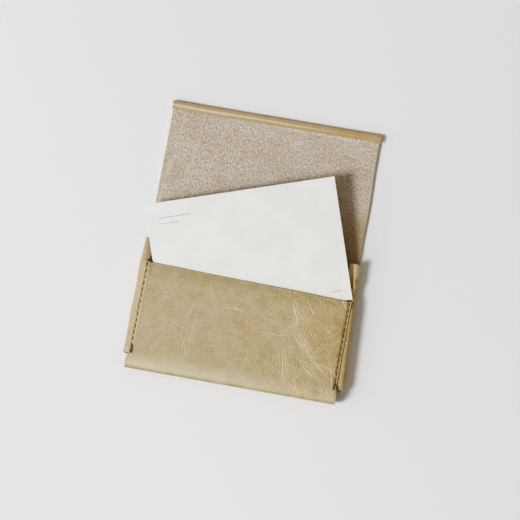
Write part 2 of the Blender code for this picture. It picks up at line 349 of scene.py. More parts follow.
def strand_field(x, y, layer):
    """Distance across and along the strongest bundle at each place, and its strength, for the material.

    Bundles that cross are in different layers.
    """
    step = 0.9
    field = np.zeros(x.shape + (3,))
    for middle, _, spread, _, strength in BUNDLES[layer::STRAND_LAYERS]:
        line = smooth_path([(a, b, 0.0) for a, b in middle], step)[:, :2]
        near, gap, side, run = beside(line, x, y, 2.4 * spread)
        fade = np.clip(np.sin(math.pi * run / (len(line) - 1)) * 1.25, 0, 1)
        weight = (0.25 + 0.75 * strength) * hump(gap, 1.15 * spread) * fade
        better = weight > field[near][:, 2]
        found = np.stack((gap * side, run * step, weight), -1)
        field[near] = np.where(better[:, None], found, field[near])
    return field


# ---------------------------------------------------------------- seams

THREAD_RADIUS = 0.22
THREAD_SHOWN = 0.16
STITCH = 1.65
STITCHES = {"left": 15, "right": 14}


def seam_line(side):
    """The seam's top and bottom in the holder's plane, from its thread's box."""
    low, high = holder_box(f"{side}_seam_thread")
    end = 0.25
    top = np.array((high[0] - THREAD_RADIUS, high[1] - end))
    return top, np.array((low[0] + THREAD_RADIUS, low[1] + end))


def stitch_places(side):
    """The (entry, exit) points of each stitch, from the top down."""
    top, bottom = seam_line(side)
    length = np.linalg.norm(bottom - top)
    along = (bottom - top) / length
    pitch = (length - STITCH) / (STITCHES[side] - 1)
    starts = [top + along * i * pitch for i in range(STITCHES[side])]
    return [(start, start + along * STITCH) for start in starts]


def seam_relief(x, y):
    """The front's surface pulled down along the seams, with a pit at every needle hole, and how dark it is:
    painted shade in the holes, a little darker along each pressed stitch.
    """
    sink, dark = np.zeros_like(x), np.zeros_like(x)
    for side in STITCHES:
        top, bottom = seam_line(side)
        share = np.clip((y - bottom[1]) / (top[1] - bottom[1]), 0, 1)
        gap = x - (bottom[0] + share * (top[0] - bottom[0]))
        inside = smooth(bottom[1] - 2.0, bottom[1] + 0.5, y)
        sink += (0.1 * hump(np.abs(gap) - 0.95, 0.45) - 0.2 * hump(gap, 0.6)) * inside
        for entry, leave in stitch_places(side):
            for hole in (entry, leave):
                pit = hump(x - hole[0], 0.28) * hump(y - hole[1], 0.28)
                sink -= 0.3 * pit
                # Painted shade in the needle hole.
                dark = np.maximum(dark, 0.4 * pit)
            middle = (entry + leave) / 2
            press = hump(x - middle[0], 0.4) * hump(y - middle[1], 0.9)
            sink -= 0.14 * press
            dark = np.maximum(dark, 0.12 * press)
    return sink, dark


# ---------------------------------------------------------------- the leather's shape

CROWN = 0.34
SIDE_DROP = 0.26
TOP_DROP, TOP_DROP_SLOPE = 0.56, 0.0042
TOP_PARED = 0.8
SIDE_PARED = {"left": 0.3, "right": 0.6}
FRONT_EDGE_INSET = 0.45


def front_shape(strokes):
    """The front and the bottom fold, from the front's top edge round to the back."""
    heights, arcs = spaced(1, 0, 1 / 118), spaced(0, 1, 1 / 28)[1:]
    u, v = np.meshgrid(spaced(-1, 1, 2 / 262), np.concatenate((heights, np.zeros(len(arcs)))))
    turn = np.concatenate((np.zeros(len(heights)), arcs))[:, None] * np.ones_like(u)
    across = (u + 1) / 2
    top_y = FRONT_TOP_LEFT[1] + across * (FRONT_TOP_RIGHT[1] - FRONT_TOP_LEFT[1]) + 0.07 * np.sin(u * 5.0)
    y = FOLD_RADIUS + v * (top_y - FOLD_RADIUS)
    draw_in = smooth(FOLD_RADIUS - 1.5, FOLD_RADIUS + 4.5, y)
    left = -FOLD_HALF + 0.2 + draw_in * (FRONT_TOP_LEFT[0] + FOLD_HALF)
    right = FOLD_HALF + draw_in * (FRONT_TOP_RIGHT[0] - FRONT_EDGE_INSET - FOLD_HALF)
    x = left + across * (right - left)
    angle = math.pi / 2 + turn * math.pi
    radius = FOLD_RADIUS - LEATHER / 2
    in_fold = turn > 0
    y_mid = np.where(in_fold, FOLD_RADIUS + radius * np.cos(angle), y)
    z_mid = np.where(in_fold, FOLD_RADIUS + radius * np.sin(angle), TOP - LEATHER / 2)
    along = np.where(in_fold, FOLD_RADIUS - turn * FOLD_ARC, y)
    from_middle = np.abs(x)
    crown = CROWN * smooth(46.0, 28.0, from_middle) * smooth(-3.0, 14.0, along) * smooth(50.0, 38.0, y)
    crown -= SIDE_DROP * smooth(44.2, 46.4, from_middle) * smooth(3.0, 9.0, along)
    crown -= (TOP_DROP - TOP_DROP_SLOPE * x) * smooth(40.0, 47.0, y) * smooth(46.0, 42.0, from_middle)
    swell = 0.16 * ripple(x, along, 17.0, 3.1) + 0.05 * ripple(x, along, 5.0, 8.4)
    swell *= smooth(47.4, 43.5, from_middle) * np.clip(1 - turn * 1.6, 0, 1)
    up_y, up_z = np.where(in_fold, np.cos(angle), 0.0), np.where(in_fold, np.sin(angle), 1.0)
    normal = np.stack((np.zeros_like(x), up_y, up_z), -1)
    mid = np.stack((x, y_mid, z_mid), -1) + normal * (crown + swell)[..., None]
    crease = crease_field(x, along, strokes)
    sink, dark = seam_relief(x, along)
    relief = sink - 0.1 * crease + 0.012 * ripple(x, along, 1.6, 5.5)
    edge = np.full_like(x, EDGE_ROUND)
    edge[-1] = 0.0
    pared = np.where(x > 0, SIDE_PARED["right"], SIDE_PARED["left"])
    pared = pared * smooth(0.8, 0.0, np.minimum(x - left, right - x)) * smooth(3.0, 9.0, along)
    thickness = LEATHER - np.maximum(TOP_PARED * smooth(top_y - 3.0, top_y, y), pared)
    # Painted highlight along the front's pared right edge, which slopes away from the light.
    painted_edge_highlight = 0.9 * hump(right - x - 0.2, 0.3) * smooth(8.0, 10.0, along)
    # The pale marks: creases, and the painted highlight at the right edge.
    light = np.maximum(0.2 * crease, painted_edge_highlight)
    return mid, normal, np.stack((x, along), -1), edge, relief, light, dark, thickness


WING_STEPS = 28
STRIP_STEPS = 5
NOTCH_LOW = 5.2
WING_START = 6.3
WING_INNER = 42.9
# The wings' outer sides at the bottom, the front's edge and the top
WING_OUTER = {"left": (48.7, 48.45, 48.1), "right": (50.5, 48.8, 48.25)}
# Dents in the right wing's upper end, darkened with painted shade: place, half sizes and depth
WING_DENTS = (
    (47.1, 55.6, 0.3, 0.7, 0.8), (48.6, 52.75, 0.25, 0.3, 0.5), (47.2, 51.3, 0.3, 0.5, 0.35),
    (46.8, 49.4, 0.35, 0.3, 0.3),
)


def softened(y, knots, values):
    """A line through the knots with its corners rounded off over a millimetre."""
    return sum(np.interp(y + d, knots, values) for d in (-1.0, -0.5, 0.0, 0.5, 1.0)) / 5


def wing_section(side, y, share):
    """The wing at height y: its mid-surface (distance outwards, height), normal and arc length.

    share runs from 0 at the back's edge to 1 at the free end under the front's edge.
    """
    _, high = holder_box(f"{side}_gusset")
    right = side == "right"
    front_y = (FRONT_TOP_RIGHT if right else FRONT_TOP_LEFT)[1]
    end = high[1]
    outer = softened(y, (WING_START, front_y, end), WING_OUTER[side])
    if right:
        outer += 0.22 * hump(y - 54.6, 1.7) - 0.3 * hump(y - 50.3, 2.0)
        knots = (WING_START, 9.0, 42.5, 46.0, 50.0, 53.5, end)
        level = softened(y, knots, (6.5, 6.85, 6.85, 5.8, 5.8, 6.4, 6.9))
        inner = softened(y, (WING_START, front_y, end), (5.2, 4.9, 4.6)) - LEATHER / 2
    else:
        outer += 0.1 * np.sin(y * 0.31)
        level = softened(y, (WING_START, front_y - 0.2, front_y + 2.2, end), (high[2], high[2], 5.3, 2.62))
        knots = (WING_START, front_y - 0.5, front_y + 1.6, end)
        inner = softened(y, knots, (5.2, 5.2, 4.4, 2.6)) - LEATHER / 2
    rise = (level - LEATHER) / 2
    reach = softened(y, (WING_START, 44.0, 50.0, end), (1.3, 1.3, 1.8, 2.3)) if right else rise
    fold = outer - LEATHER / 2 - reach
    lip = fold - BACK_HALF
    arc = math.pi * (rise + reach) / 2
    flange = fold - WING_INNER
    run = share * (lip + arc + flange)
    angle = -math.pi / 2 + np.clip((run - lip) / arc, 0, 1) * math.pi
    on_flange = np.clip((run - lip - arc) / flange, 0, 1)
    out = np.where(run < lip, BACK_HALF + run, fold + reach * np.cos(angle) - on_flange * flange)
    height = LEATHER / 2 + rise + rise * np.sin(angle)
    front_edge = FRONT_TOP_RIGHT[0] - FRONT_EDGE_INSET
    if right:
        dip = smooth(front_edge + 0.3, front_edge - 1.4, fold - on_flange * flange)
    else:
        dip = smooth(0.45, 1.0, on_flange)
    height = height + (inner - (level - LEATHER / 2)) * np.where(on_flange > 0, dip, 0.0)
    return out, height, np.cos(angle) * rise, np.sin(angle) * reach, run


def back_shape():
    """The back from the fold to the spine, with both wings folded in, as one grid.

    The outer columns are strips beside the back where there is no wing. The cells between a strip and a wing
    are cut.
    """
    middle = spaced(-BACK_HALF, BACK_HALF, 0.56)
    wing_rows = spaced(WING_START, 58.6, 0.52)
    ys = np.concatenate((spaced(FOLD_RADIUS, NOTCH_LOW, 0.4), wing_rows, spaced(59.4, CASE_END_Y, 0.4)))
    rows, cols = len(ys), len(middle) + 2 * WING_STEPS
    mid, normal = np.zeros((rows, cols, 3)), np.zeros((rows, cols, 3))
    pattern = np.zeros((rows, cols, 2))
    keep = np.ones((rows - 1, cols - 1), bool)
    edge = np.full((rows, cols), EDGE_ROUND)
    inside = slice(WING_STEPS, cols - WING_STEPS)
    mid[:, inside, 0] = middle
    mid[:, inside, 1] = ys[:, None]
    mid[:, inside, 2] = LEATHER / 2
    normal[:, inside, 2] = -1.0
    pattern[:, inside, 0] = middle
    pattern[..., 1] = (BACK_PATTERN - (ys - FOLD_RADIUS))[:, None]
    outwards = np.arange(WING_STEPS)
    share = (outwards + 1) / WING_STEPS
    for side, sign in (("left", -1), ("right", 1)):
        wing_end_highlight = holder_box(f"{side}_gusset")[1][1]
        no_wing = [y < WING_START - 0.01 or y > wing_end_highlight + 0.5 for y in ys]
        columns = outwards[::-1] if sign < 0 else cols - WING_STEPS + outwards
        for r, y in enumerate(ys):
            if no_wing[r]:
                limit = FOLD_HALF if y < WING_START else -SPINE_LOW[0]
                out = BACK_HALF + np.minimum((outwards + 1) / STRIP_STEPS, 1.0) * (limit - BACK_HALF)
                out[STRIP_STEPS:] += (outwards[STRIP_STEPS:] - STRIP_STEPS + 1) * 0.3
                flat = np.ones(WING_STEPS)
                mid[r, columns] = np.stack((sign * out, y * flat, flat * LEATHER / 2), 1)
                normal[r, columns] = (0, 0, -1)
                pattern[r, columns, 0] = sign * out
                continue
            out, height, side_n, up_n, run = wing_section(side, y, share)
            end_rise = 0.4 * smooth(0.2, 1.0, share) if sign > 0 else 0.0 * share
            slant = 0.75 * smooth(0.35, 0.9, share) - 0.25 * smooth(0.5, 0.0, share)
            y_here = y + slant * smooth(12.0, WING_START, y) + end_rise * smooth(50.0, CASE_END_Y, y)
            mid[r, columns] = np.stack((sign * out, y_here, height), 1)
            normal[r, columns] = np.stack((sign * side_n, 0.0 * share, up_n), 1)
            pattern[r, columns, 0] = sign * (BACK_HALF + run)
        cells = outwards[::-1] if sign < 0 else cols - 1 - WING_STEPS + outwards
        for r in range(rows - 1):
            if no_wing[r] != no_wing[r + 1]:
                keep[r, cells] = False
            elif no_wing[r]:
                keep[r, cells] = outwards < STRIP_STEPS
    butt = np.abs(mid[..., 0]) < BACK_HALF + 2.4
    edge[0, butt[0]] = 0.0
    edge[-1, butt[-1] & (mid[-1, :, 2] < 1.0)] = 0.0
    return mid, normal, pattern, keep, edge


FLAP_STEP = 1 / 212
LEAN = (HEM_RIGHT[1] - HEM_LEFT[1]) / (HEM_RIGHT[0] - HEM_LEFT[0])
LEAN_FROM = 100.0
HEM_LIP = 2.4


def flap_edges(y):
    """The flap's left and right sides at y."""
    share = (y - CREASE_Y) / (HEM_RIGHT[1] - CREASE_Y)
    shift = 0.35 * smooth(66.0, 85.0, y)
    left = SPINE_LOW[0] + 0.06 * np.sin(y * 0.13) + shift
    right = SPINE_HIGH[0] + share * (HEM_RIGHT[0] - SPINE_HIGH[0]) + 0.08 * np.sin(y * 0.21 + 1.0) + shift
    return left, right


def flap_lift(x, y):
    """How far the flap's sheet stands off the table: slow waves, a little more near its free corners."""
    waves = 0.12 * (ripple(x, y, 26.0, 12.3) + 0.6)
    corners = 0.25 * smooth(30, 47, np.abs(x)) * smooth(95, 121, y)
    return (waves + corners) * smooth(FLAP_CREASE_Y + 2, FLAP_CREASE_Y + 16, y)


def flat_shape(ys):
    """Part of the spine and flap, lying flat: rows at those heights, the upper ones leaning like the hem."""
    u, y = np.meshgrid(spaced(0, 1, FLAP_STEP), ys)
    left, right = flap_edges(y)
    x = left + u * (right - left)
    y = y + x * LEAN * smooth(LEAN_FROM, HEM_START, y)
    mid = np.stack((x, y, np.full_like(x, LEATHER / 2) + flap_lift(x, y)), -1)
    normal = np.zeros_like(mid)
    normal[..., 2] = -1.0
    return mid, normal, np.stack((x, BACK_PATTERN - (y - FOLD_RADIUS)), -1)


def hem_shape():
    """The turned-over edge: round the tip and back over the flap, fullest a little behind the tip."""
    knots = np.array((
        (0.0, 0.6), (0.5, 0.62), (0.86, 0.78), (0.92, 1.08), (0.66, 1.38), (0.1, 1.6), (-0.7, 1.74),
        (-1.5, 1.78), (-2.05, 1.72), (-HEM_LIP, 1.66),
    ))
    share = np.linspace(0, 1, len(knots))
    fine = np.linspace(0, 1, 27)
    line = softened_line(np.stack([np.interp(fine, share, knots[:, k]) for k in (0, 1)], 1), 2)
    along = unit(np.gradient(line, axis=0))
    run = np.concatenate(([0], np.cumsum(np.linalg.norm(np.diff(line, axis=0), axis=1))))
    u, r = np.meshgrid(spaced(0, 1, FLAP_STEP), np.arange(len(line)))
    left, right = flap_edges(np.full_like(u, HEM_START))
    flat_x = left + u * (right - left)
    x = flat_x + (smooth(0.88, 1, u) - smooth(0.12, 0, u)) * 0.4 * smooth(1, 8, r)
    y = HEM_START + line[r, 0] + x * LEAN
    y = y + 0.1 * ripple(x, r * 0.2, 9.0, 4.4) * smooth(8, 24, r)
    z = line[r, 1] + flap_lift(flat_x, HEM_START + x * LEAN)
    normal = np.stack((np.zeros_like(x), along[r, 1], -along[r, 0]), -1)
    pattern = np.stack((x, BACK_PATTERN - (HEM_START - FOLD_RADIUS) - run[r]), -1)
    return np.stack((x, y, z), -1), normal, pattern, run[r] / run[-1]


# ---------------------------------------------------------------- materials

def linear(colour):
    """A 0-255 display colour as linear values."""
    channels = [c / 255 for c in colour]
    return tuple(c / 12.92 if c <= 0.04045 else ((c + 0.055) / 1.055) ** 2.4 for c in channels) + (1.0,)


class Look:
    """A node material in the making, with the colour reached so far.

    Values are sockets, numbers or 0-255 colours. Places are in the pattern's mm.
    """

    def __init__(self, name):
        self.material = bpy.data.materials.new(name)
        self.material.use_nodes = True
        self.tree = self.material.node_tree
        self.shader = self.tree.nodes["Principled BSDF"]
        self.place = self.attribute("pattern", "Vector")
        self.colour = None

    def put(self, value, socket):
        if isinstance(value, bpy.types.NodeSocket):
            self.tree.links.new(value, socket)
        elif socket.type == "RGBA":
            socket.default_value = linear(value)
        else:
            socket.default_value = value

    def node(self, kind, inputs, output=0, **settings):
        """A new node's output."""
        made = self.tree.nodes.new(kind)
        for key, value in settings.items():
            setattr(made, key, value)
        for key, value in inputs.items():
            self.put(value, made.inputs[key])
        return made.outputs[output]

    def attribute(self, name, output="Fac"):
        return self.node("ShaderNodeAttribute", {}, output, attribute_name=name)

    def math(self, operation, a, b=0.0, clamp=False):
        return self.node("ShaderNodeMath", {0: a, 1: b}, operation=operation, use_clamp=clamp)

    def times(self, a, b):
        return self.math("MULTIPLY", a, b)

    def most(self, a, b, clamp=False):
        return self.math("MAXIMUM", a, b, clamp)

    def scaled(self, x, y, z=1.0, place=None):
        inputs = {0: place or self.place, 1: (x, y, z)}
        return self.node("ShaderNodeVectorMath", inputs, operation="MULTIPLY")

    def turned(self, degrees):
        inputs = {"Vector": self.place, "Rotation": (0.0, 0.0, math.radians(degrees))}
        return self.node("ShaderNodeMapping", inputs)

    def axis(self, name, place=None):
        return self.node("ShaderNodeSeparateXYZ", {0: place or self.place}, name)

    def noise(self, scale, detail=3.0, rough=0.55, distortion=0.0, place=None, output=0):
        inputs = {"Vector": place or self.place, "Scale": scale, "Detail": detail, "Roughness": rough,
                  "Distortion": distortion}
        return self.node("ShaderNodeTexNoise", inputs, output)

    def cells(self, scale, feature="DISTANCE_TO_EDGE", place=None):
        inputs = {"Vector": place or self.place, "Scale": scale}
        return self.node("ShaderNodeTexVoronoi", inputs, feature=feature)

    def between(self, value, low, high, to_low=0.0, to_high=1.0):
        """A smooth step from to_low at low to to_high at high."""
        inputs = {"Value": value, "From Min": low, "From Max": high, "To Min": to_low, "To Max": to_high}
        return self.node("ShaderNodeMapRange", inputs, interpolation_type="SMOOTHSTEP")

    def mix(self, share, a, b):
        return self.node("ShaderNodeMix", {0: share, 6: a, 7: b}, 2, data_type="RGBA")

    def tint(self, share, shade, strength=None):
        """Mixes a shade into the colour."""
        if strength is not None:
            share = self.times(share, strength)
        self.colour = self.mix(share, self.colour, shade)

    def finish(self, roughness, height, distance, **extra):
        """The material, with a bump that distance in mm high."""
        bump = self.node("ShaderNodeBump", {"Height": height, "Distance": distance * MM})
        inputs = {"Base_Color": self.colour, "Roughness": roughness, "Normal": bump, **extra}
        for key, value in inputs.items():
            self.put(value, self.shader.inputs[key.replace("_", " ")])
        return self.material


def vein_lines(look, scale, width, mask_scale, low, high):
    """Broken wandering lines: the edges of warped cells, shown only in patches."""
    warp = look.noise(scale * 1.3, 3.0, 0.5, output=1)
    inputs = {0: warp, 1: (0.8 / scale,) * 3, 2: look.place}
    bent = look.node("ShaderNodeVectorMath", inputs, operation="MULTIPLY_ADD")
    lines = look.between(look.cells(scale, place=bent), 0.0, width, 1.0, 0.0)
    return look.times(lines, look.between(look.noise(mask_scale, 2.0), low, high))


def crossed_veins(look, *kinds):
    """Two kinds of vein lines, the stronger at each place."""
    return look.most(*(vein_lines(look, *kind) for kind in kinds))


def wrinkles(look, place, spacing, wander, stretch, width, seed):
    """Thin wavy lines that run along the place's Y, broken here and there."""
    inputs = {0: place, 1: stretch + (0.0,), 2: (seed, seed * 3.0, 0.0)}
    shift = look.node("ShaderNodeVectorMath", inputs, operation="MULTIPLY_ADD")
    wave = look.times(look.noise(1.0, 2.0, 0.5, 0.0, shift), wander)
    phase = look.math("ADD", look.math("DIVIDE", look.axis("X", place), spacing), wave)
    gap = look.times(look.math("PINGPONG", phase, 0.5), spacing)
    line = look.math("SUBTRACT", 1.0, look.math("DIVIDE", gap, width), clamp=True)
    return look.times(line, look.between(look.noise(2.3, 2.0, 0.5, 0.0, shift), 0.36, 0.52, 0.15, 1.0))


def strand_lines(look, layer):
    """Fine wrinkles that follow a layer of crease bundles."""
    place = look.attribute(f"strands_{layer}", "Vector")
    wide = wrinkles(look, place, 1.2, 2.2, (0.4, 0.11), 0.32, 4.0 + layer)
    fine = look.times(wrinkles(look, place, 0.8, 1.8, (0.6, 0.17), 0.28, 9.0 + layer), 0.7)
    return look.times(look.most(wide, fine), look.times(look.axis("Z", place), 1.5))


def mottle(look, across):
    """Pull-up tan with clouds, blotches and fine specks, greyer on the left and golden on the right: the grey
    left is partly a painted sheen of the light from the left, the darker golden right partly painted shade
    where the front turns away from it.
    """
    cloud = look.between(look.noise(0.055, 3.0, 0.6), 0.3, 0.7, -0.3, 0.35)
    # Grey to golden across the front: partly painted sheen on the left, partly painted shade on the right.
    warm = look.math("ADD", look.between(across, -40.0, 55.0, 0.0, 0.8), cloud, clamp=True)
    look.colour = look.mix(warm, (187, 168, 139), (171, 143, 92))
    patches = look.between(look.noise(0.09), 0.3, 0.6, 0.35, 1.0)
    # Darker golden patches on the right, partly painted shade.
    look.tint(look.times(look.between(across, 22.0, 43.0), patches), (168, 138, 84), 0.75)
    look.tint(look.between(look.noise(0.33, 4.0, 0.62, 0.6), 0.35, 0.68), (160, 136, 92), 0.16)
    pale = look.noise(0.21, 4.0, 0.6, 1.2, look.scaled(1.0, 0.6))
    look.tint(look.between(pale, 0.52, 0.74), (198, 184, 156), 0.1)
    look.tint(look.between(look.noise(1.9, 4.0, 0.7), 0.38, 0.62, 0.0, 0.46), (152, 130, 90))
    specks = look.noise(2.2, 4.0, 0.7, 0.0, look.scaled(1.0, 1.0, 3.0))
    look.tint(look.between(specks, 0.48, 0.64, 0.0, 0.5), (208, 193, 162))


def painted_light_and_tints(look, across, along):
    """The right wing's golden tint, partly a painted highlight, and a painted highlight on its upper end; the
    left wing greyer and darker; a painted highlight over the bottom fold and painted shade under it; a darker
    golden band near the front's right edge.
    """
    patchy = look.between(look.noise(0.55, 3.0, 0.6), 0.35, 0.65, 0.25, 0.65)
    # Golden right wing: partly its own tint, partly a painted highlight where it is lit.
    look.tint(look.between(across, 45.2, 47.0), (187, 155, 101), patchy)
    # Painted highlight on the lit upper end of the right wing.
    wing_end_highlight = look.times(look.between(along, -57.0, -60.5), look.between(along, -67.0, -64.5))
    look.tint(wing_end_highlight, (214, 198, 164), look.between(across, 45.2, 47.0, 0.0, 0.7))
    # The left wing greyer and darker.
    look.tint(look.between(across, -45.0, -46.5, 0.0, 0.7), (168, 148, 121))
    # Painted highlight in a pale band above the bottom fold, strongest on the left towards the light.
    fold_highlight = look.times(look.between(along, 8.5, 4.0), look.between(along, 0.4, 2.4))
    look.tint(fold_highlight, (200, 191, 168), look.between(across, -46.0, 46.0, 0.75, 0.28))
    # Painted shade on the bottom fold's underside.
    fold_underside_shade = look.times(look.between(along, 1.6, 0.2), look.between(along, -7.0, -4.0))
    look.tint(fold_underside_shade, (150, 137, 90), 0.9)
    # A darker golden band near the front's right edge.
    right_edge_band = look.times(look.between(across, 40.5, 45.5), look.between(along, 4.0, 9.0))
    look.tint(right_edge_band, (148, 118, 66), 0.5)


def stray_wrinkles(look, across):
    """Two sets of crossing wrinkles over the whole sheet, denser towards the right."""
    slanted, level = look.turned(-40), look.turned(75)
    dense = look.between(across, -8.0, 34.0, 0.25, 1.0)
    shown = look.times(dense, look.between(look.noise(0.12, 2.0), 0.4, 0.6, 0.2, 1.0))
    first = look.times(wrinkles(look, slanted, 1.3, 5.0, (0.16, 0.09), 0.3, 2.0), shown)
    shown = look.between(look.noise(0.1, 2.0, place=level), 0.42, 0.6, 0.1, 0.7)
    return look.most(first, look.times(wrinkles(look, level, 1.5, 6.0, (0.17, 0.1), 0.3, 6.0), shown))


def grain_leather(name, streaks=0.0, veins=1.0, creased=False, wrinkled=True, warmth=0.0):
    """Waxed pull-up leather: mottled tan, paler where it creases, with fine pores, and painted sheen,
    highlights and shade laid into its colour.
    """
    look = Look(name)
    across, along = look.axis("X"), look.axis("Y")
    mottle(look, across)
    if streaks:
        for place, low, high, shade in (
            (look.scaled(1.3, 0.09), 0.4, 0.68, (203, 184, 148)),
            (look.scaled(0.9, 0.07), 0.52, 0.7, (146, 126, 84)),
        ):
            look.tint(look.between(look.noise(1.0, 3.0, 0.6, 0.3, place), low, high), shade, streaks)
    look.tint(warmth, (202, 173, 131))
    painted_light_and_tints(look, across, along)
    long_veins = crossed_veins(look, (0.16, 0.06, 0.07, 0.5, 0.62), (0.36, 0.11, 0.11, 0.48, 0.62))
    crackle = crossed_veins(look, (0.8, 0.22, 0.16, 0.3, 0.58), (1.15, 0.3, 0.2, 0.32, 0.58))
    crackle = look.times(crackle, look.between(across, -45.0, 30.0, 0.34 * veins, 0.46 * veins))
    lines = look.most(look.times(long_veins, 0.35 * veins), crackle)
    if creased:
        for layer in range(STRAND_LAYERS):
            lines = look.most(lines, strand_lines(look, layer))
    if wrinkled:
        lines = look.most(lines, look.times(stray_wrinkles(look, across), veins))
    light = look.most(lines, look.attribute("crease"), clamp=True)
    # Paler along veins, wrinkles and creases, and painted highlights from the crease attribute.
    look.tint(light, (224, 211, 180), 0.85)
    # Painted shade from the dark attribute: needle holes, the wing's dents and the hem's lip.
    look.tint(look.attribute("dark"), (78, 58, 32), 0.75)
    pores = look.between(look.cells(2.6, "F1"), 0.0, 0.5)
    grain = look.math("ADD", look.times(pores, 0.5), look.noise(3.6, 3.0, 0.6))
    height = look.math("SUBTRACT", grain, look.times(light, 1.8))
    roughness = look.between(look.noise(0.8), 0.3, 0.7, 0.44, 0.6)
    return look.finish(roughness, height, 0.07, Specular_IOR_Level=0.4, Sheen_Weight=0.06)


def suede(name):
    """The flesh side: matt, mottled, with short fibres lying roughly along the sheet, browner near the
    spine's right end as painted shade where the card's shadow falls.
    """
    look = Look(name)
    across, along = look.axis("X"), look.axis("Y")
    cloud = look.between(look.noise(0.07, 4.0, 0.62), 0.34, 0.66)
    look.colour = look.mix(cloud, (201, 189, 171), (213, 202, 190))
    look.tint(look.between(look.noise(0.4, 3.0, 0.6, 0.5), 0.4, 0.7), (172, 156, 132), 0.12)
    leaning = look.turned(-9)
    fibres = look.noise(1.0, 3.0, 0.65, 0.5, look.scaled(2.9, 0.95, place=leaning))
    look.tint(look.between(fibres, 0.36, 0.53, 0.85, 0.0), (163, 142, 113))
    look.tint(look.between(fibres, 0.5, 0.65, 0.0, 0.9), (229, 220, 208))
    # Painted shade colour: browner suede where the card's shadow falls near the spine.
    spine_shadow_tint = look.times(look.between(along, -94.0, -78.0), look.between(across, 32.0, 42.0))
    look.tint(spine_shadow_tint, (172, 140, 90), 0.5)
    veins = crossed_veins(look, (0.085, 0.03, 0.05, 0.48, 0.6), (0.2, 0.05, 0.08, 0.56, 0.66))
    look.tint(veins, (226, 217, 203), 0.4)
    folds = wrinkles(look, leaning, 9.0, 0.9, (0.1, 0.05), 0.7, 5.0)
    look.tint(folds, (232, 224, 208), look.between(across, -4.0, -20.0, 0.0, 0.4))
    clumps = look.between(look.noise(1.0, 2.0, 0.5, 0.0, look.scaled(1.7, 0.8)), 0.48, 0.58)
    look.tint(look.attribute("tufts"), (240, 235, 226), clumps)
    fuzz = look.noise(1.0, 4.0, 0.75, 0.6, look.scaled(3.4, 1.5, place=leaning))
    height = look.math("ADD", look.times(fibres, 1.2), fuzz)
    roughness = look.between(fuzz, 0.3, 0.7, 0.86, 1.0)
    return look.finish(roughness, height, 0.22, Specular_IOR_Level=0.12, Sheen_Weight=0.12,
                       Sheen_Roughness=0.6)


def cut_edge(name, dark, light):
    """The raw cut edge: packed pale fibres."""
    look = Look(name)
    fibres = look.noise(1.0, 4.0, 0.7, 0.2, look.scaled(2.4, 2.4))
    look.colour = look.mix(look.between(fibres, 0.3, 0.7), dark, light)
    return look.finish(0.72, fibres, 0.08, Specular_IOR_Level=0.25)


def thread_look(name):
    """Waxed brown thread, redder where it is rubbed."""
    look = Look(name)
    look.colour = look.mix(look.between(look.noise(1.4, 3.0, 0.6), 0.35, 0.65), (96, 58, 32), (138, 94, 60))
    fibre = look.noise(1.0, 3.0, 0.6, 0.2, look.scaled(9.0, 9.0, 9.0))
    return look.finish(look.between(fibre, 0.3, 0.7, 0.5, 0.75), fibre, 0.03, Specular_IOR_Level=0.35)


def card_look(name, rules):
    """Uncoated white card with thin grey printed rules: (x, y, half length, half width) from its middle."""
    look = Look(name)
    look.colour = look.mix(look.between(look.noise(0.06), 0.35, 0.65), (227, 227, 225), (231, 231, 229))
    mark = 0.0
    for x, y, half_length, half_width in rules:
        inside = []
        for axis, centre, half in (("X", x, half_length), ("Y", y, half_width)):
            gap = look.math("ABSOLUTE", look.math("SUBTRACT", look.axis(axis), centre))
            inside.append(look.between(gap, half - 0.06, half + 0.06, 1.0, 0.0))
        mark = look.most(mark, look.times(*inside))
    look.tint(mark, (150, 152, 150), 0.6)
    roughness = look.between(look.noise(1.2, 2.0), 0.3, 0.7, 0.62, 0.72)
    return look.finish(roughness, look.noise(5.0, 4.0, 0.6), 0.012, Specular_IOR_Level=0.3)


def floor_look(name):
    look = Look(name)
    place = look.node("ShaderNodeTexCoord", {}, "Object")
    cloud = look.between(look.noise(3.0, place=place), 0.3, 0.7)
    look.colour = look.mix(cloud, (231, 231, 232), (233, 233, 234))
    return look.finish(0.6, look.noise(900.0, 2.0, place=place), 0.02, Specular_IOR_Level=0.15)


# ---------------------------------------------------------------- threads

TWIST_PITCH = 1.25
PLIES = 2
TUBE_SIDES = 7
KNOT_RADIUS = 0.2
TACK_RADIUS = 0.17
# The knot above the left seam: offsets from its top, and from the leather there. It starts inside the pocket.
KNOT_START = ((0.55, 3.4, 5.0), (0.6, 3.1, 5.6), (0.5, 2.3, 6.2))
KNOT_END = (
    (0.4, 1.5, -0.4), (0.0, 1.6, -0.1), (-0.35, 1.4, 0.15), (0.1, 1.1, 0.4), (0.7, 0.8, 0.45),
    (1.2, 0.5, 0.3), (1.3, 0.25, -0.2),
)
# The back stitches at each seam's bottom: offsets of both ends
TACKS = {
    "left": ((0.42, 3.5, 0.5, 0.05), (0.62, 3.2, 0.66, -0.1), (0.25, 2.7, 0.35, 0.3)),
    "right": ((0.0, 2.4, 1.0, -0.35), (0.35, 1.6, 1.2, -0.6), (-0.4, 0.6, 0.1, -0.9)),
}


def cross_axes(path):
    """Unit vectors across a path, turning as little as possible."""
    along = unit(np.gradient(path, axis=0))
    side = np.cross(along[0], (0.0, 0.0, 1.0))
    if np.linalg.norm(side) < 0.1:
        side = np.cross(along[0], (1.0, 0.0, 0.0))
    sides = []
    for heading in along:
        side = side - heading * (side @ heading)
        side = side / np.linalg.norm(side)
        sides.append(side)
    sides = np.array(sides)
    return sides, np.cross(along, sides)


